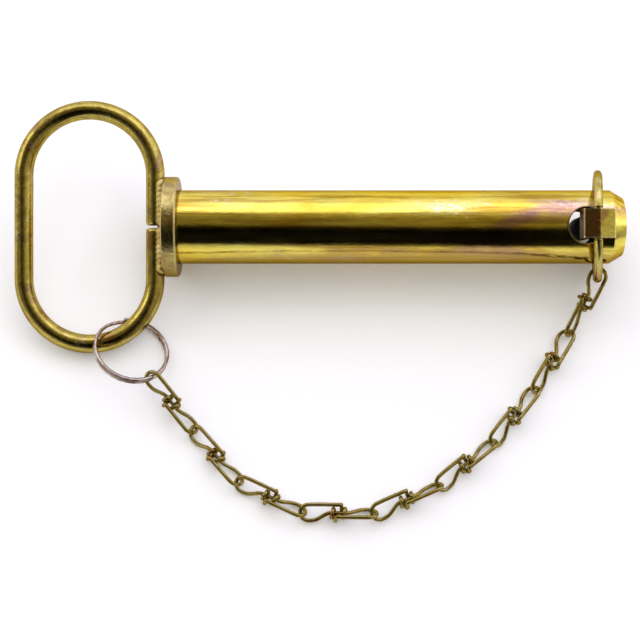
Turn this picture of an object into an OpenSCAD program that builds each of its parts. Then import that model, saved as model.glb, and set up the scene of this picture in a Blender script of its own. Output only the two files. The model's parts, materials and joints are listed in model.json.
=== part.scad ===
// Top link pin with a welded stirrup handle, a linch pin through its free end
// and a knotted chain between the two, lying on a flat surface.
// Millimetres. The shaft axis is X, the bearing face of the collar is at x = 0.
// The whole pin is rolled about X, so that the handle leans down to one side.

/* [Pin] */
// Shaft diameter
shaft_d = 25; // [20:0.5:32]
// Length from the bearing face of the collar to the centre of the cross hole
usable_length = 136.5; // [90:0.5:180]
// Length of shaft beyond the centre of the cross hole
end_length = 13.5; // [11:0.5:18]
// Length of the taper at the free end
taper_length = 4.2; // [2:0.1:6]
// Depth of the taper at the free end
taper_depth = 2.5; // [1:0.1:4]
// Diameter of the cross hole
hole_d = 12; // [10.6:0.2:13]
// Bevel around the mouths of the cross hole
hole_bevel = 0.7; // [0:0.1:1]

/* [Collar] */
// Collar diameter
collar_d = 34; // [32:0.5:42]
// Collar thickness
collar_t = 5; // [3:0.5:8]
// Bevel on the rims of the collar
collar_bevel = 0.5; // [0:0.1:1]

/* [Handle] */
// Diameter of the bent rod
rod_d = 6.3; // [5:0.1:8]
// Width of the handle over the rod, along the shaft
handle_w = 51; // [44:1:60]
// Length of the handle over the rod, across the shaft
handle_l = 85.7; // [70:0.1:100]
// Gap between the two ends of the rod, on the back of the collar
rod_gap = 1; // [0.4:0.1:2]
// Diameter of one ripple of the weld bead
bead_d = 4.4; // [3:0.1:5]
// Ripples in one run of bead
bead_count = 8; // [5:1:9]
// Height at which the split ring holds the handle off the ground
handle_lift = 1; // [0.6:0.1:2]

/* [Linch pin] */
// Diameter of the round stem
stem_d = 8; // [7:0.1:8.4]
// Length of the stem below the head
stem_length = 29.9; // [29:0.1:34]
// Length of the head along the shaft
head_x = 10.4; // [9:0.1:12]
// Width of the head across the shaft
head_y = 9.5; // [8:0.1:11]
// Height of the head at its ridge
head_z = 9.8; // [9:0.1:12]
// Height of the ridge above the two long edges of the head
head_ridge = 1.1; // [0.2:0.1:2]
// Mean radius of the snap ring
ring_r = 17.6; // [17:0.1:20]
// Wire diameter of the snap ring
ring_wire = 3; // [2.4:0.1:3.4]
// Lean of the snap ring, which brings it past the tip of the stem
ring_lean = 9.3; // [9:0.1:14]

/* [Chain] */
// Wire diameter of the chain
wire_d = 1.4; // [1.1:0.05:1.45]
// Distance from joint to joint of one link
pitch = 23.5; // [22:0.1:26]
// Mean radius of the round end of an eye
eye_r = 2.9; // [2.6:0.1:3.4]
// Mean radius of the wrap around the middle of a link
wrap_r = 1.5; // [1.45:0.05:1.8]
// Turns in one wrap
wrap_turns = 1.3; // [1:0.05:1.4]
// Gap between the wires of two links where they hook together
hook_gap = 0.3; // [0.2:0.05:0.5]
// Heading of every link in the bend of the chain, from the handle to the free end
drape = [-49, -48, -25, -1, 23, 38, 50, 57, 60];
// Turn of every link about its own length
turn = [46, 47, 44, 37, 31, 38, 46, 57, 68];
// Play of the snap ring in the last eye
ring_play = 1.1; // [0.3:0.1:2]
// Place on the snap ring where the last link hooks in, as an angle below the side
hook_angle = 10; // [0:1:40]

/* [Split ring] */
// Mean radius of the split ring
split_r = 12.35; // [12:0.05:14]
// Wire diameter of the split ring
split_wire = 1.28; // [1:0.02:1.3]
// Lean of the split ring from lying flat
split_lean = 26; // [20:1:32]
// Heading to which the split ring leans
split_heading = 45.6; // [35:0.1:55]
// Distance by which the centre of the split ring lies outside the handle's bend
split_out = 6.2; // [5:0.1:7]
// Height of the centre of the split ring above the plane of the handle
split_up = 3.4; // [2:0.1:5]
// Place of the split ring around the handle's end, in degrees from straight out
split_place = 30.7; // [25:0.1:40]
// Place of the first link around the split ring, in degrees
split_hook = -10; // [-30:1:20]

/* [Hidden] */
$fn = 48;

// Clearances
// Bore of the collar over the shaft, on the radius
collar_fit = 0.02;
// Head of the linch pin above the crown of the shaft
head_gap = 0.05;
// Pivots of the snap ring in the head, on the radius
pivot_fit = 0.05;
// Snap ring beside the head
cheek_gap = 0.13;
// Chain and rings above the ground
ground_gap = 0.02;

// Pin
shaft_r = shaft_d / 2;
collar_r = collar_d / 2;
shaft_end = usable_length + end_length;
ground = -collar_r;

// Handle, in the plane of the shaft axis
rod_r = rod_d / 2;
bend_r = handle_w / 2 - rod_r;
bend_y = handle_l / 2 - rod_r - bend_r;
near_x = -collar_t - rod_r;
far_x = near_x - 2 * bend_r;
bend_x = (near_x + far_x) / 2;

// Roll of the pin, from the collar and the lifted end of the handle
roll = asin((collar_r - rod_r - handle_lift) / (handle_l / 2 - rod_r));

// Linch pin, in the rolled pin's own axes
stem_r = stem_d / 2;
stem_x = usable_length + hole_d / 2 - stem_r - 0.2;
head_bottom = shaft_r + head_gap;
ring_wire_r = ring_wire / 2;
pivot_r = ring_wire_r - 0.1;
ring_end_y = head_y / 2 + cheek_gap + 0.28 * ring_wire_r;
ring_drop = sqrt(ring_r * ring_r - ring_end_y * ring_end_y);
ring_half = ring_r * sqrt(pow(sin(roll), 2) + pow(cos(ring_lean) * cos(roll), 2));
ring_mid_z = (ground + ring_wire_r + ring_half) / cos(roll);
pivot_z = ring_mid_z + ring_drop * cos(ring_lean);
pivot_x = stem_x + 0.7;

// Small functions
function unit(v) = v / norm(v);
function rolled(p) = [p[0], p[1] * cos(roll) - p[2] * sin(roll), p[1] * sin(roll) + p[2] * cos(roll)];
function heading(a) = [cos(a), sin(a), 0];

// One link: half of its wire, from the middle through an eye and back around the middle
wire_r = wire_d / 2;
eye_end = pitch / 2 + wire_r + hook_gap / 2 - eye_r;
leg = eye_r + 0.1;
eye_steps = 9;
wrap_steps = 14;
wrap_start = 0.75;
wrap_run = 1.7;

function wrap_point(t) =
    let (fall = min(1, t * wrap_turns / 0.55), r = leg - (leg - wrap_r) * fall)
    let (a = -360 * wrap_turns * t)
    [wrap_start + wrap_run * t, r * cos(a), r * sin(a)];

half_link = concat(
    [[0, 0, 0], [-2.6, 0, 0], [-4.2, -0.19 * eye_r, 0], [-6, -0.6 * eye_r, 0], [-7.6, -0.9 * eye_r, 0]],
    [for (i = [0:eye_steps]) let (a = -90 - 180 * i / eye_steps)
        [eye_r * cos(a) - eye_end, eye_r * sin(a), 0]],
    [[-6, leg, 0], [-0.6, leg, 0]],
    [for (i = [0:wrap_steps]) wrap_point(i / wrap_steps)]
);

// The other half is the same wire turned half round about the line y = z
last = len(half_link) - 1;
link_path = concat(
    [for (i = [0:last - 1]) half_link[last - i]],
    [half_link[0]],
    [for (i = [1:last]) let (p = half_link[i]) [-p[0], p[2], p[1]]]
);

// Split ring: two flat turns side by side, with one short step from turn to turn
split_wire_r = split_wire / 2;
split_offset = split_wire_r + 0.02;
split_from = 32;
split_to = 688;
split_steps = 54;

function step(t) = t < 0 ? 0 : t > 1 ? 1 : t * t * (3 - 2 * t);
split_path = [for (i = [0:split_steps])
    let (a = split_from + (split_to - split_from) * i / split_steps)
    let (z = split_offset * (2 * step((a - 330) / 60) - 1))
    [split_r * cos(a), split_r * sin(a), z]];

// A round wire of n sides along a path, with no twist from point to point
wire_sides = 8;

function tangents(p) = let (n = len(p) - 1)
    [for (i = [0:n]) unit(p[min(i + 1, n)] - p[max(i - 1, 0)])];
function level(u, t) = unit(u - (u * t) * t);
function normals(t) = let (n = len(t), first = level([0.31, 0.52, 0.79], t[0]))
    [for (i = 0, u = first; i < n; i = i + 1, u = i < n ? level(u, t[i]) : u) u];

module wire(path, r) {
    n = len(path);
    t = tangents(path);
    u = normals(t);
    points = [for (i = [0:n - 1]) for (k = [0:wire_sides - 1])
        let (a = 360 * k / wire_sides)
        path[i] + r * (cos(a) * u[i] + sin(a) * cross(t[i], u[i]))];
    sides = [for (i = [0:n - 2]) for (k = [0:wire_sides - 1])
        let (a = i * wire_sides + k, b = i * wire_sides + (k + 1) % wire_sides)
        for (f = [[a, b + wire_sides, b], [a, a + wire_sides, b + wire_sides]]) f];
    start_cap = [for (k = [1:wire_sides - 2]) [0, k, k + 1]];
    e = (n - 1) * wire_sides;
    end_cap = [for (k = [1:wire_sides - 2]) [e, e + k + 1, e + k]];
    polyhedron(points, concat(sides, start_cap, end_cap), convexity = 6);
}

// Where the split ring lies: around the handle's lower bend, leaning on it
place_dir = [sin(split_place), -cos(split_place), 0];
split_at = rolled([bend_x, -bend_y, split_up] + (bend_r + split_out) * place_dir);
split_u = [-sin(split_heading), cos(split_heading), 0];
split_n = [sin(split_lean) * cos(split_heading), sin(split_lean) * sin(split_heading), cos(split_lean)];
split_v = cross(split_n, split_u);
chain_start = split_at + split_r * (cos(split_hook) * -split_u + sin(split_hook) * -split_v);

// Where the last link hooks over the snap ring
ring_down = [sin(ring_lean), 0, -cos(ring_lean)];
ring_mid = [pivot_x, 0, pivot_z] + ring_drop * ring_down;
chain_end = rolled(ring_mid + ring_r * (sin(hook_angle) * ring_down - [0, cos(hook_angle), 0]));

// Links lie on the ground, each as high as its own turn asks
count = len(drape);
end_reach = pitch / 2 + wire_r + hook_gap / 2;
first_reach = end_reach - 1.9;
last_reach = end_reach - ring_wire_r - wire_r - ring_play;

function height(k) = ground + ground_gap + wire_r + leg * max(sin(turn[k]), cos(turn[k]));
joint_z = [for (k = [0:count]) k == 0 ? chain_start[2] : k == count ? chain_end[2]
    : max(height(k - 1), height(k))];
length = [for (k = [0:count - 1]) (k == 0 ? first_reach : pitch / 2)
    + (k == count - 1 ? last_reach : pitch / 2)];
reach = [for (k = [0:count - 1]) sqrt(pow(length[k], 2) - pow(joint_z[k + 1] - joint_z[k], 2))];

// The bend of the chain is eased or tightened until it spans from ring to ring
function run(t, k) = k < 0 ? [0, 0, 0] : run(t, k - 1) + reach[k] * heading(t * (drape[k] - drape[3]));
span = [chain_end[0] - chain_start[0], chain_end[1] - chain_start[1]];
function ease(lo, hi, n) = let (m = (lo + hi) / 2)
    n == 0 ? m : norm(run(m, count - 1)) > norm(span) ? ease(m, hi, n - 1) : ease(lo, m, n - 1);
bend = ease(0, 3, 40);
chord = run(bend, count - 1);
swing = atan2(span[1], span[0]) - atan2(chord[1], chord[0]);

function link_heading(k) = bend * (drape[k] - drape[3]) + swing;
function joint(k) = k == 0 ? chain_start : let (p = joint(k - 1), h = heading(link_heading(k - 1)))
    [p[0] + reach[k - 1] * h[0], p[1] + reach[k - 1] * h[1], joint_z[k]];

module chain_link(k) {
    a = joint(k);
    b = joint(k + 1);
    x = unit(b - a);
    at = a + (k == 0 ? first_reach : pitch / 2) * x;
    side = unit(cross([0, 0, 1], x));
    up = cross(x, side);
    y = cos(turn[k]) * side + sin(turn[k]) * up;
    z = cross(x, y);
    wire([for (p = link_path) at + p[0] * x + p[1] * y + p[2] * z], wire_r);
}

// Parts
module shaft() {
    color([0.82, 0.72, 0.2])
    rotate([roll, 0, 0])
    difference() {
        rotate([0, 90, 0])
        rotate_extrude()
        polygon([[0, -collar_t], [shaft_r, -collar_t], [shaft_r, shaft_end - taper_length],
            [shaft_r - taper_depth, shaft_end], [0, shaft_end]]);
        translate([usable_length, 0, -shaft_r - 1])
        cylinder(d = hole_d, h = shaft_d + 2);
        for (s = [0, 180])
            rotate([s, 0, 0])
            translate([usable_length, 0, shaft_r - hole_bevel - 0.9])
            cylinder(r1 = hole_d / 2 - 0.9, r2 = hole_d / 2 + hole_bevel + 1, h = hole_bevel + 1.9);
    }
}

module collar() {
    b = collar_bevel;
    color([0.85, 0.8, 0.5])
    rotate([roll, 0, 0])
    rotate([0, 90, 0])
    rotate_extrude()
    polygon([[shaft_r + collar_fit, -collar_t], [collar_r - b, -collar_t], [collar_r, b - collar_t],
        [collar_r, -b], [collar_r - b, 0], [shaft_r + collar_fit, 0]]);
}

// One straight leg beside the collar, with a rounded cut end
module rod_end() {
    rotate([-90, 0, 0])
    rotate_extrude()
    polygon([[0, rod_gap / 2], [rod_r - 0.9, rod_gap / 2], [rod_r - 0.25, rod_gap / 2 + 0.3],
        [rod_r, rod_gap / 2 + 1], [rod_r, bend_y], [0, bend_y]]);
}

module handle() {
    color([0.75, 0.65, 0.2])
    rotate([roll, 0, 0])
    union() {
        for (s = [0, 180])
            translate([near_x, 0, 0])
            rotate([s, 0, 0])
            rod_end();
        translate([far_x, -bend_y, 0])
        rotate([-90, 0, 0])
        cylinder(r = rod_r, h = 2 * bend_y);
        for (s = [0, 180])
            translate([bend_x, 0, 0])
            rotate([s, 0, 0])
            translate([0, bend_y, 0])
            rotate_extrude(angle = 180)
            translate([bend_r, 0])
            circle(r = rod_r);
    }
}

module weld_beads() {
    first = 1.9;
    rim_bead = sqrt(pow(collar_r - 1.2, 2) - pow(rod_r, 2)) - bead_d / 3;
    // the weld follows the straight leg and stops where the rod bends away
    last_bead = min(rim_bead, bend_y - bead_d / 2);
    color([0.7, 0.6, 0.45])
    rotate([roll, 0, 0])
    difference() {
        union() {
            for (s = [-1, 1])
                for (d = [-1, 1])
                    for (i = [0:bead_count - 1])
                        translate([-collar_t - 0.55, d * (first + i * (last_bead - first) / (bead_count - 1)),
                            s * (rod_r - 0.1)])
                        sphere(d = bead_d, $fn = 32);
            translate([-collar_t - 0.7 * rod_r, -rod_gap, -rod_r + 0.3])
            cube([0.7 * rod_r, 2 * rod_gap, 2 * rod_r - 0.6]);
        }
        translate([-collar_t, -collar_d, -collar_d])
        cube([collar_d, 2 * collar_d, 2 * collar_d]);
        for (s = [0, 180])
            translate([near_x, 0, 0])
            rotate([s, 0, 0])
            rod_end();
    }
}

module linch_pin() {
    tip = head_bottom - stem_length;
    side = head_z - head_ridge;
    color([0.6, 0.62, 0.35])
    rotate([roll, 0, 0])
    difference() {
        union() {
            translate([stem_x, 0, 0])
            rotate_extrude()
            polygon([[0, tip], [1.7, tip], [2.7, tip + 0.6], [stem_r, tip + 3.2],
                [stem_r, head_bottom + 1], [0, head_bottom + 1]]);
            translate([stem_x + 0.7, head_y / 2, head_bottom])
            rotate([90, 0, 0])
            linear_extrude(height = head_y)
            polygon([[0.6 - head_x / 2, 0], [head_x / 2 - 0.6, 0], [head_x / 2, 0.6],
                [head_x / 2, side - 0.3], [head_x / 2 - 0.4, side], [0, head_z],
                [0.4 - head_x / 2, side], [-head_x / 2, side - 0.3], [-head_x / 2, 0.6]]);
        }
        for (s = [0, 180])
            translate([pivot_x, 0, pivot_z])
            rotate([0, 0, s])
            translate([0, head_y / 2 - 1.9, 0])
            rotate([-90, 0, 0])
            cylinder(r = pivot_r + pivot_fit, h = 3);
    }
}

module linch_ring() {
    open = asin(ring_end_y / ring_r);
    color([0.55, 0.5, 0.3])
    rotate([roll, 0, 0])
    translate([pivot_x, 0, pivot_z])
    rotate([0, -ring_lean, 0])
    union() {
        translate([0, 0, -ring_drop])
        rotate([0, 90, 0])
        rotate([0, 0, 180 + open])
        rotate_extrude(angle = 360 - 2 * open)
        translate([ring_r, 0])
        circle(r = ring_wire_r);
        for (s = [0, 180])
            rotate([0, 0, s])
            translate([0, head_y / 2 - 1.8, 0])
            rotate([-90, 0, 0])
            cylinder(r = pivot_r, h = ring_end_y - head_y / 2 + 1.95);
    }
}

module split_ring() {
    color([0.75, 0.68, 0.65])
    wire([for (p = split_path) split_at + p[0] * split_u + p[1] * split_v + p[2] * split_n], split_wire_r);
}

module link_color() {
    color([0.6, 0.56, 0.32])
    children();
}

module chain_link_1() { link_color() chain_link(0); }
module chain_link_2() { link_color() chain_link(1); }
module chain_link_3() { link_color() chain_link(2); }
module chain_link_4() { link_color() chain_link(3); }
module chain_link_5() { link_color() chain_link(4); }
module chain_link_6() { link_color() chain_link(5); }
module chain_link_7() { link_color() chain_link(6); }
module chain_link_8() { link_color() chain_link(7); }
module chain_link_9() { link_color() chain_link(8); }

shaft();
collar();
handle();
weld_beads();
linch_pin();
linch_ring();
split_ring();
chain_link_1();
chain_link_2();
chain_link_3();
chain_link_4();
chain_link_5();
chain_link_6();
chain_link_7();
chain_link_8();
chain_link_9();
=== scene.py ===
import json
import math

import bpy
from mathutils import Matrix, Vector


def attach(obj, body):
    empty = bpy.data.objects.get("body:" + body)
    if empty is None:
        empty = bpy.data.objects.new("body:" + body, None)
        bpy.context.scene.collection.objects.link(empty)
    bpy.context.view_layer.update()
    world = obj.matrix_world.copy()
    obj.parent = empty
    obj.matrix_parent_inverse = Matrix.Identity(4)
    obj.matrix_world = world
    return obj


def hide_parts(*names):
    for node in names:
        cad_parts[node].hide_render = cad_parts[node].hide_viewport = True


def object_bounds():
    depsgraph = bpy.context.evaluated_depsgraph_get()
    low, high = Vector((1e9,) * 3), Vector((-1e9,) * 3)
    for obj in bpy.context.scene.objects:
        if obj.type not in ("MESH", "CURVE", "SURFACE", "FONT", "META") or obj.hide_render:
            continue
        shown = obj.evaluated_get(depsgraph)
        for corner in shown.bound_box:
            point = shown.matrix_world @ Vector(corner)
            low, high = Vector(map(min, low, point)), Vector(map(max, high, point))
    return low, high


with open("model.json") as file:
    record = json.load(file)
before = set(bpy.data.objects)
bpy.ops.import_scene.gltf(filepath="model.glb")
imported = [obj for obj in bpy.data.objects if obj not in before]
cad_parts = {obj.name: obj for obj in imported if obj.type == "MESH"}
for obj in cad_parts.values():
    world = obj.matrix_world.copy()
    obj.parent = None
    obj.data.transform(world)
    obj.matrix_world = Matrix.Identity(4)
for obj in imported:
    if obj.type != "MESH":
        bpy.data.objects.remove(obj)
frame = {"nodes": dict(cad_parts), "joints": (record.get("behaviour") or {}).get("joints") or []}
cad_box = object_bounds()
nodes = frame["nodes"]
MM = 0.001

# ---------------------------------------------------------------- sizes of the part, mm
COLLAR_R = 17.0
ROD_R = 3.15
HANDLE_L = 85.7
HANDLE_LIFT = 1.0       # the split ring holds the handle this far off the ground
HOLE_X = 136.5          # cross hole
HOLE_SHADE_R = 6.3      # the hole and its edge, painted dark as shade and dull as unplated steel
STEM_BURIED_R = 12.35   # the linch pin is dark closer to the shaft's axis than this
HEAD_RIDGE_X = 139.0
SHAFT_SIDES_Y = 0.0012  # m, middle between the two sides of shaft and collar that get painted shade

# the pin lies rolled until the handle rests near the ground
ROLL = math.asin((COLLAR_R - ROD_R - HANDLE_LIFT) / (HANDLE_L / 2 - ROD_R))
SR, CR = math.sin(ROLL), math.cos(ROLL)


def rolled(x, y, z):
    return Vector((x, y * CR - z * SR, y * SR + z * CR))


# ---------------------------------------------------------------- camera, floor, light
CAMERA_AWAY = 500.0     # mm
VIEW_WIDTH = 217.6      # mm of the object's plane that the picture spans
SENSOR = 36
FLOOR_HALF = 3.0        # m
FLOOR_DROP = 0.00005    # m, so that the floor doesn't flicker with what rests on it

scene = bpy.context.scene


def point(obj, direction):
    obj.rotation_mode = "QUATERNION"
    obj.rotation_quaternion = direction.to_track_quat("-Z", "Y")


aim = rolled(47.8, -31.6, 0)
back = rolled(0, 0, 1)
cam_data = bpy.data.cameras.new("camera")
cam = bpy.data.objects.new("camera", cam_data)
scene.collection.objects.link(cam)
cam.location = (aim + back * CAMERA_AWAY) * MM
point(cam, -back)
cam_data.sensor_width = SENSOR
cam_data.lens = SENSOR * CAMERA_AWAY / VIEW_WIDTH
cam_data.clip_start = 0.02
cam_data.clip_end = 20
scene.camera = cam

floor_mat = bpy.data.materials.new("floor_pale")
floor_mat.use_nodes = True
floor_skin = floor_mat.node_tree.nodes["Principled BSDF"]
floor_skin.inputs["Base Color"].default_value = (0.93, 0.93, 0.93, 1)
floor_skin.inputs["Roughness"].default_value = 0.9
floor_skin.inputs["Emission Color"].default_value = (1, 1, 1, 1)
floor_skin.inputs["Emission Strength"].default_value = 0.10

floor_mesh = bpy.data.meshes.new("floor")
floor_z = cad_box[0].z - FLOOR_DROP
corners = [(sx * FLOOR_HALF, sy * FLOOR_HALF, floor_z)
           for sx, sy in ((-1, -1), (1, -1), (1, 1), (-1, 1))]
floor_mesh.from_pydata(corners, [], [(0, 1, 2, 3)])
floor = bpy.data.objects.new("floor", floor_mesh)
scene.collection.objects.link(floor)
floor_mesh.materials.append(floor_mat)


def softbox(name, at, to, size_x, size_y, power):
    data = bpy.data.lights.new(name, "AREA")
    data.shape = "RECTANGLE"
    data.size, data.size_y = size_x, size_y
    data.energy = power
    o = bpy.data.objects.new(name, data)
    scene.collection.objects.link(o)
    o.location = at
    point(o, Vector(to) - Vector(at))
    return o


softbox("key", (0.05, 0.62, 0.72), (0.05, -0.02, 0), 1.4, 0.55, 2.1)
softbox("side", (-0.9, 0.25, 0.55), (0.03, -0.03, 0), 0.5, 0.5, 1.6)
over = softbox("over", (0.05, -0.05, 1.2), (0.05, -0.03, 0), 1.8, 1.5, 6.8)
over.visible_glossy = False     # it lights the floor and isn't mirrored
scene.view_settings.view_transform = "Standard"


# ---------------------------------------------------------------- shader nodes
def grey(v):
    return (v, v, v)


class Graph:
    """Adds nodes to a shader tree. A value is a number, a tuple or another node's output."""

    def __init__(self, tree):
        self.tree = tree

    def put(self, socket, value):
        if isinstance(value, bpy.types.NodeSocket):
            self.tree.links.new(value, socket)
        elif socket.type == "RGBA":
            socket.default_value = (*value, 1)
        else:
            socket.default_value = value

    def add(self, kind, inputs, **settings):
        node = self.tree.nodes.new(kind)
        for key, value in settings.items():
            setattr(node, key, value)
        for key, value in inputs.items():
            self.put(node.inputs[key], value)
        return node

    def math(self, operation, *values):
        return self.add("ShaderNodeMath", dict(enumerate(values)),
                        operation=operation).outputs["Value"]

    def mapping(self, vector, **inputs):
        return self.add("ShaderNodeMapping", {"Vector": vector, **inputs}).outputs["Vector"]

    def split(self, vector):
        return self.add("ShaderNodeSeparateXYZ", {0: vector}).outputs

    def noise(self, vector, scale, detail, rough, distortion=0.0):
        return self.add("ShaderNodeTexNoise", {
            "Vector": vector, "Scale": scale, "Detail": detail, "Roughness": rough,
            "Distortion": distortion}).outputs["Fac"]

    def ramp(self, value, stops):
        node = self.add("ShaderNodeValToRGB", {"Fac": value})
        ends = node.color_ramp.elements
        for end, (at, color) in ((ends[0], stops[0]), (ends[1], stops[-1])):
            end.position = at
            end.color = (*color, 1)
        for at, color in stops[1:-1]:
            ends.new(at).color = (*color, 1)
        return node.outputs["Color"]

    def mix(self, factor, a, b, blend="MIX"):
        return self.add("ShaderNodeMix", {0: factor, 6: a, 7: b},
                        data_type="RGBA", blend_type=blend).outputs[2]

    def mask(self, length, reach, start, end):
        """Goes from one grey to another between two places, each (mm, grey).

        The length is in metres, and reach times it fits the ramp's 0 to 1.
        """
        return self.ramp(self.math("MULTIPLY", length, reach),
                         [(at * reach * MM, grey(v)) for at, v in (start, end)])


# ---------------------------------------------------------------- studio
# What the metal mirrors, by angle about the X axis in degrees, from the horizon at -Y over the
# top to +Y: a white floor's edge, a dark gap in front, then a lit wall behind
STUDIO = [(4, 0.64), (7.5, 0.38), (11, 0.08), (15.5, 0.008), (58, 0.002), (65, 0.014), (70, 0.07),
          (78, 0.22), (96, 0.21), (107, 0.41), (116, 0.72), (126, 0.88), (142, 0.92), (160, 1.12)]
STUDIO_FRONT = (0.72, 0.72, 0.73)
STUDIO_BACK = (0.95, 0.95, 0.97)
STUDIO_SKEW = 0.2       # the bands shift along X
# Softer walls at both ends, which only the handle, the chain and the small parts mirror, by X
WALLS = [(0.20, 0.20), (0.29, 0.10), (0.36, 0.0), (0.62, 0.0), (0.69, 0.20), (0.80, 0.34)]
WALL_LEFT = (0.34, 0.33, 0.30)
WALL_RIGHT = (0.40, 0.39, 0.36)


def studio_color(angle, value):
    """The dim part above is warm, the dark and the lit parts are cool."""
    if value < 0.5 and angle > 60:
        return (value, value * 0.83, value * 0.45)
    return (value, value, value * (1.40 if value > 0.8 else 1.15))


world = bpy.data.worlds.new("studio")
scene.world = world
world.use_nodes = True
backdrop = world.node_tree.nodes["Background"]
g = Graph(world.node_tree)
way = g.split(g.add("ShaderNodeTexCoord", {}).outputs["Generated"])
half_turn = g.math("MULTIPLY", g.math("ARCTAN2", way["Z"], g.math("MULTIPLY", way["Y"], -1)),
                   1 / math.pi)
bands = g.ramp(g.math("MULTIPLY_ADD", way["X"], STUDIO_SKEW, half_turn),
               [(0, STUDIO_FRONT)] + [(a / 180, studio_color(a, v)) for a, v in STUDIO]
               + [(1, STUDIO_BACK)])
walls = g.ramp(g.math("MULTIPLY_ADD", way["X"], 0.5, 0.5),
               [(0, WALL_LEFT)] + [(at, (v, v * 0.97, v * 0.88)) for at, v in WALLS]
               + [(1, WALL_RIGHT)])
g.put(backdrop.inputs["Color"], g.mix(1, bands, walls, "ADD"))
backdrop.inputs["Strength"].default_value = 1.1

# ---------------------------------------------------------------- materials
EDGE_TINT = (0.56, 0.44, 0.29)      # keeps the plating's colour at a grazing angle
SPECK = (0.78, 0.74, 0.62)
HOLE_DARK = (0.035, 0.028, 0.016)
STEM_DARK = (0.03, 0.024, 0.014)
DULL_ROUGH = 0.85                   # unplated, greasy steel where nothing rubs it bright
GRAIN = 900.0                       # per m
FINE = 7                            # fine noise, against the patches of tint
STREAKS = [(0.38, (0.55, 0.40, 0.34)), (0.50, grey(1.0)), (0.66, grey(1.0)),
           (0.74, (0.86, 0.96, 0.80))]


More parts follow.
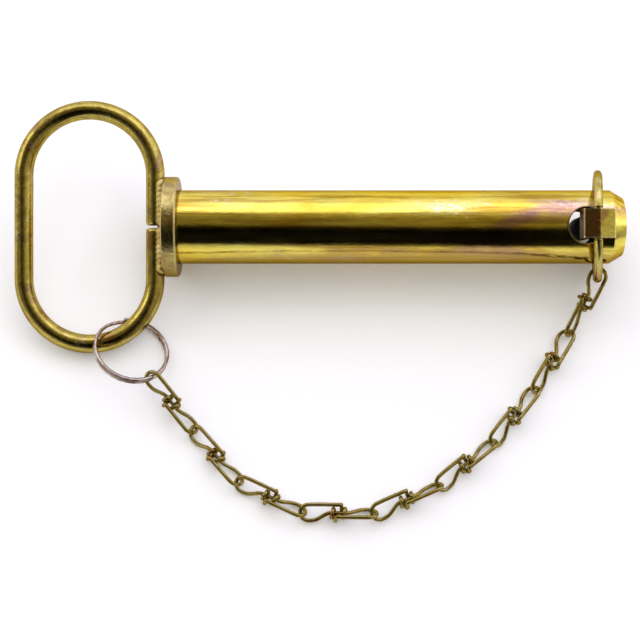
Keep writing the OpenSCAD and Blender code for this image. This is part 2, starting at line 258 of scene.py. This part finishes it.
def plating(name, stops, rough, patch, specks, bump, stretch=(1, 1, 1), side_shade=None, hole=None,
            edge_glint=None, buried=None, streak=0.0, face_shade=None):
    """Zinc plating: a tint that drifts over the surface, fine grain, specks, painted shade and
    painted edge highlights.

    stops     the tint's colours by the drifting noise
    rough     lowest and highest roughness
    patch     how fine the tint's patches are, per m; stretch draws them out
    specks    how many pale specks, 0 to 1
    side_shade  painted shade along the two sides: where it starts and ends in mm from the middle,
    and its colour
    hole      the cross hole, painted dark as shade and made dull: its X and radius in mm
    edge_glint  painted highlight along the edges: its width in mm and its colour
    buried    dark closer to the shaft's axis than this, mm
    streak    how strong the streaks along the pin are
    face_shade  painted shade on the head's faces below this X in mm, and its colour
    """
    mat = bpy.data.materials.new(name)
    mat.use_nodes = True
    skin = mat.node_tree.nodes["Principled BSDF"]
    m = Graph(mat.node_tree)
    place = m.add("ShaderNodeTexCoord", {}).outputs["Object"]
    unroll = (-ROLL, 0, 0)
    drawn_out = m.mapping(place, Scale=stretch, Rotation=unroll)

    def wander(noise, amount):
        return m.math("MULTIPLY", m.math("SUBTRACT", noise, 0.5), amount)

    def distance(a, b):
        return m.math("SQRT", m.math("ADD", m.math("MULTIPLY", a, a), m.math("MULTIPLY", b, b)))

    drift = m.noise(drawn_out, patch, 4, 0.55, 0.6)
    fine = m.noise(drawn_out, patch * FINE, 6, 0.7, 0.3)
    color = m.mix(0.55, m.ramp(drift, stops),
                  m.ramp(fine, [(0.36, (0.62, 0.60, 0.55)), (0.6, grey(1.0))]), "MULTIPLY")
    if streak:
        # drawn-bar streaks that run along the pin
        along = m.mapping(place, Scale=(0.05, 1, 1), Rotation=unroll)
        color = m.mix(streak, color, m.ramp(m.noise(along, 330, 5, 0.62), STREAKS), "MULTIPLY")

    # pale specks and short scratches, in some areas only
    spots = m.math("MULTIPLY", m.noise(drawn_out, patch * 20, 8, 0.75, 1.2),
                   m.noise(drawn_out, patch * 1.7, 2, 0.5))
    cut = 0.375 - 0.03 * specks
    marks = m.ramp(spots, [(cut, grey(0)), (cut + 0.03, grey(0.6))])
    color = m.mix(marks, color, SPECK)

    dull_and_shaded = None
    at = m.split(m.mapping(place, Rotation=unroll))
    if side_shade:
        # painted shade along the two sides, darker towards them, with a ragged edge
        start, end, tint = side_shade
        off_middle = m.math("ABSOLUTE", m.math("SUBTRACT", at["Y"], SHAFT_SIDES_Y))
        ragged = m.math("ADD", m.math("ADD", off_middle, wander(fine, 0.012)),
                        wander(drift, 0.016))
        color = m.mix(m.mask(ragged, 40, (start, 0), (end, 0.75)), color, tint)
    if face_shade:
        # painted shade: the head's faces on one side of its ridge are darker
        ridge_x, tint = face_shade
        color = m.mix(m.mask(m.math("ADD", at["X"], wander(fine, 0.004)), 5,
                             (ridge_x - 0.6, 0.8), (ridge_x + 0.6, 0)), color, tint)
    if hole:
        # painted shade in the cross hole and around its edge, on dull unplated steel
        hole_x, radius = hole
        off = m.math("SUBTRACT", at["X"], hole_x * MM)
        dull_and_shaded = m.mask(distance(off, at["Y"]), 100, (radius - 0.2, 1), (radius + 0.2, 0))
        color = m.mix(dull_and_shaded, color, HOLE_DARK)
    if edge_glint:
        width, tint = edge_glint
        # painted highlight along the edges, where the bevelled normal turns away from the face's
        bevel = m.add("ShaderNodeBevel", {"Radius": width * MM}, samples=6)
        true_normal = m.add("ShaderNodeNewGeometry", {}).outputs["Normal"]
        same = m.add("ShaderNodeVectorMath", {0: bevel.outputs["Normal"], 1: true_normal},
                     operation="DOT_PRODUCT").outputs["Value"]
        edge_glint_mask = m.math("ADD", m.math("SUBTRACT", 1.0, same), wander(fine, 0.05))
        color = m.mix(m.ramp(edge_glint_mask, [(0.02, grey(0)), (0.07, grey(0.9))]), color, tint)
    if buried:
        # dark, unlit metal inside the pin
        dull_and_shaded = m.mask(distance(at["Y"], at["Z"]), 50, (buried - 0.4, 1), (buried, 0))
        color = m.mix(dull_and_shaded, color, STEM_DARK)

    span = m.add("ShaderNodeMapRange", {"Value": fine, "From Min": 0.3, "From Max": 0.7,
                                        "To Min": rough[0], "To Max": rough[1]})
    roughness = m.math("MULTIPLY_ADD", marks, 0.25, span.outputs["Result"])
    metallic = 1.0
    if dull_and_shaded is not None:
        metallic = m.math("SUBTRACT", 1.0, dull_and_shaded)
        roughness = m.math("MAXIMUM", roughness, m.math("MULTIPLY", dull_and_shaded, DULL_ROUGH))

    grain = m.add("ShaderNodeBump", {"Strength": bump, "Distance": 0.0003,
                                     "Height": m.noise(drawn_out, GRAIN, 5, 0.65)})
    dents = m.add("ShaderNodeBump", {"Strength": bump * 1.6, "Distance": 0.0006,
                                     "Height": fine, "Normal": grain.outputs["Normal"]})
    for socket, value in (("Base Color", color), ("Metallic", metallic),
                          ("Roughness", roughness), ("Normal", dents.outputs["Normal"]),
                          ("Specular Tint", EDGE_TINT)):
        m.put(skin.inputs[socket], value)
    return mat


GOLD = (0.82, 0.60, 0.07)
LEMON = (0.88, 0.76, 0.15)
BROWN = (0.34, 0.19, 0.06)
ROSE = (0.58, 0.34, 0.25)
GREEN = (0.50, 0.52, 0.13)
PALE = (0.80, 0.74, 0.50)

shaft_m = plating("zinc_shaft", [(0.30, GREEN), (0.40, GOLD), (0.52, LEMON), (0.62, GOLD),
                                 (0.72, ROSE)],
                  rough=(0.05, 0.15), patch=48, stretch=(0.30, 1, 1), specks=0.7, bump=0.055,
                  side_shade=(9.2, 12.2, (0.38, 0.24, 0.07)), hole=(HOLE_X, HOLE_SHADE_R), streak=0.75)
rod_m = plating("zinc_rod", [(0.32, BROWN), (0.43, (0.38, 0.29, 0.07)),
                             (0.54, (0.52, 0.41, 0.09)), (0.64, (0.30, 0.22, 0.07)),
                             (0.74, ROSE)],
                rough=(0.09, 0.22), patch=125, specks=0.2, bump=0.07)
collar_m = plating("zinc_collar", [(0.32, BROWN), (0.43, (0.46, 0.36, 0.12)),
                                   (0.54, (0.60, 0.48, 0.15)), (0.63, (0.42, 0.32, 0.12)),
                                   (0.72, ROSE)],
                   rough=(0.12, 0.26), patch=150, specks=0.4, bump=0.12,
                   side_shade=(12.5, 17.5, (0.34, 0.25, 0.09)), edge_glint=(0.4, PALE))
linch_m = plating("zinc_cast", [(0.32, (0.40, 0.22, 0.07)), (0.46, (0.56, 0.44, 0.08)),
                                (0.58, (0.62, 0.54, 0.10)), (0.72, (0.44, 0.24, 0.14))],
                  rough=(0.09, 0.20), patch=150, specks=0.1, bump=0.14,
                  edge_glint=(0.7, (0.86, 0.80, 0.55)), buried=STEM_BURIED_R,
                  face_shade=(HEAD_RIDGE_X, (0.26, 0.085, 0.035)))
snap_m = plating("zinc_snap", [(0.32, BROWN), (0.43, (0.42, 0.34, 0.08)),
                               (0.55, (0.54, 0.47, 0.14)), (0.68, (0.50, 0.30, 0.20))],
                 rough=(0.05, 0.15), patch=150, specks=0.2, bump=0.06)
wire_m = plating("zinc_wire", [(0.32, BROWN), (0.45, (0.28, 0.22, 0.05)),
                               (0.58, (0.36, 0.29, 0.09)), (0.72, (0.34, 0.27, 0.16))],
                 rough=(0.12, 0.28), patch=180, specks=0.2, bump=0.08)
ring_m = plating("nickel_ring", [(0.30, (0.30, 0.22, 0.18)), (0.48, (0.48, 0.38, 0.33)),
                                 (0.70, (0.56, 0.52, 0.46))],
                 rough=(0.12, 0.26), patch=140, specks=0.4, bump=0.06)
weld_m = plating("weld_bead", [(0.28, BROWN), (0.42, (0.60, 0.44, 0.14)),
                               (0.56, (0.72, 0.58, 0.20)), (0.72, ROSE)],
                 rough=(0.20, 0.40), patch=150, specks=0.8, bump=0.3)


def dress(o, mat):
    if not o.material_slots:
        o.data.materials.append(mat)
    for sl in o.material_slots:
        sl.material = mat


for name, mat in (("shaft", shaft_m), ("collar", collar_m), ("handle", rod_m),
                  ("weld_beads", weld_m), ("linch_pin", linch_m), ("linch_ring", snap_m),
                  ("split_ring", ring_m)):
    dress(nodes[name], mat)

# ---------------------------------------------------------------- chain wire
# One link, in mm: a straight middle, two eyes at right angles to each other, and both tails
# wrapped around the middle
LINKS = 9
WIRE_R, PITCH, EYE_R, GAP = 0.7, 23.5, 2.9, 0.3
SMOOTH_SLACK = 0.035    # thinner by this, so that the smooth curves stay inside the CAD box
REACH = PITCH / 2 + WIRE_R + GAP / 2
FIRST_BACK = 1.9        # the first link starts inside the split ring
EYE_END = REACH - EYE_R
EYE_STEPS, EYE_STEP_DEG = 10, 20
LEG = EYE_R + 0.1       # how far the tail's leg runs from the middle
WRAP_R, WRAP_TURNS, WRAP_STEPS = 1.5, 1.3, 15
WRAP_AT, WRAP_LENGTH = 0.75, 1.7
WRAP_EASE = 0.55        # turns over which the tail closes in on the middle
WIRE_SIDES = 12
END_ROUND = 0.82        # the cut ends are this much narrower
TURN = [46, 47, 44, 37, 31, 38, 46, 57, 68]     # each link's turn about its own length

# Snap ring, in mm and degrees, to find where the last link hooks
SNAP_R, SNAP_WIRE_R = 17.6, 1.5
HEAD_Y, CHEEK_GAP, END_INSET = 9.5, 0.13, 0.28
SNAP_LEAN = math.radians(9.3)
HOOK_ANGLE = math.radians(10)


def smooth_path(pts, sub):
    """Catmull-Rom through the points."""
    out = []
    last = len(pts) - 1
    for i in range(last):
        p0, p1, p2, p3 = pts[max(i - 1, 0)], pts[i], pts[i + 1], pts[min(i + 2, last)]
        for k in range(sub):
            t = k / sub
            out.append(0.5 * (2 * p1 + (p2 - p0) * t + (2 * p0 - 5 * p1 + 4 * p2 - p3) * t * t
                              + (3 * p1 - p0 - 3 * p2 + p3) * t ** 3))
    out.append(pts[-1].copy())
    return out


def sweep(name, path, radius):
    """A round wire along the path, closed at both ends."""
    count, sides = len(path), WIRE_SIDES
    u = Vector((0.31, 0.52, 0.79))
    verts, faces = [], []
    for i, p in enumerate(path):
        tangent = (path[min(i + 1, count - 1)] - path[max(i - 1, 0)]).normalized()
        u = (u - u.dot(tangent) * tangent).normalized()
        w = tangent.cross(u)
        r = radius * END_ROUND if i in (0, count - 1) else radius
        for k in range(sides):
            a = 2 * math.pi * k / sides
            verts.append(tuple((p + r * (math.cos(a) * u + math.sin(a) * w)) * MM))
    for i in range(count - 1):
        for k in range(sides):
            a, b = i * sides + k, i * sides + (k + 1) % sides
            faces.append((a, b, b + sides, a + sides))
    faces.append(tuple(reversed(range(sides))))
    faces.append(tuple(range((count - 1) * sides, count * sides)))
    mesh = bpy.data.meshes.new(name)
    mesh.from_pydata(verts, [], faces)
    mesh.polygons.foreach_set("use_smooth", [True] * (len(faces) - 2) + [False, False])
    o = bpy.data.objects.new(name, mesh)
    scene.collection.objects.link(o)
    return o


def half_link():
    """From the middle through one eye to the end of its tail."""
    pts = [(0, 0, 0), (-2.6, 0, 0), (-4.2, -0.19 * EYE_R, 0), (-6, -0.6 * EYE_R, 0),
           (-7.6, -0.9 * EYE_R, 0)]
    for i in range(EYE_STEPS):
        a = math.radians(-90 - EYE_STEP_DEG * i)
        pts.append((EYE_R * math.cos(a) - EYE_END, EYE_R * math.sin(a), 0))
    pts += [(-6, LEG, 0), (-0.6, LEG, 0)]
    for i in range(WRAP_STEPS):
        t = i / (WRAP_STEPS - 1)
        r = LEG - (LEG - WRAP_R) * min(1, t * WRAP_TURNS / WRAP_EASE)
        a = -2 * math.pi * WRAP_TURNS * t
        pts.append((WRAP_AT + WRAP_LENGTH * t, r * math.cos(a), r * math.sin(a)))
    return [Vector(p) for p in pts]


half = half_link()
link = list(reversed(half)) + [Vector((-p.x, p.z, p.y)) for p in half[1:]]

joint_at = {j["child"]: Vector(j["pos_m"]) / MM for j in frame["joints"]}
down = Vector((math.sin(SNAP_LEAN), 0, -math.cos(SNAP_LEAN)))
snap_end_y = HEAD_Y / 2 + CHEEK_GAP + END_INSET * SNAP_WIRE_R
drop = math.sqrt(SNAP_R ** 2 - snap_end_y ** 2)
hook = drop * down + SNAP_R * (math.sin(HOOK_ANGLE) * down - Vector((0, math.cos(HOOK_ANGLE), 0)))
chain_end = joint_at["linch_ring"] + rolled(*hook)
for k in range(LINKS):
    start = joint_at["chain_link_%d" % (k + 1)]
    end = joint_at["chain_link_%d" % (k + 2)] if k < LINKS - 1 else chain_end
    x = (end - start).normalized()
    middle = start + (REACH - FIRST_BACK if k == 0 else PITCH / 2) * x
    side = Vector((0, 0, 1)).cross(x).normalized()
    up = x.cross(side)
    t = math.radians(TURN[k])
    y = math.cos(t) * side + math.sin(t) * up
    z = x.cross(y)
    path = smooth_path([middle + p.x * x + p.y * y + p.z * z for p in link], 2)
    o = sweep("link_wire_%d" % (k + 1), path, WIRE_R - SMOOTH_SLACK)
    dress(o, wire_m)
    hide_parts("chain_link_%d" % (k + 1))
    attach(o, "chain_link_%d" % (k + 1))
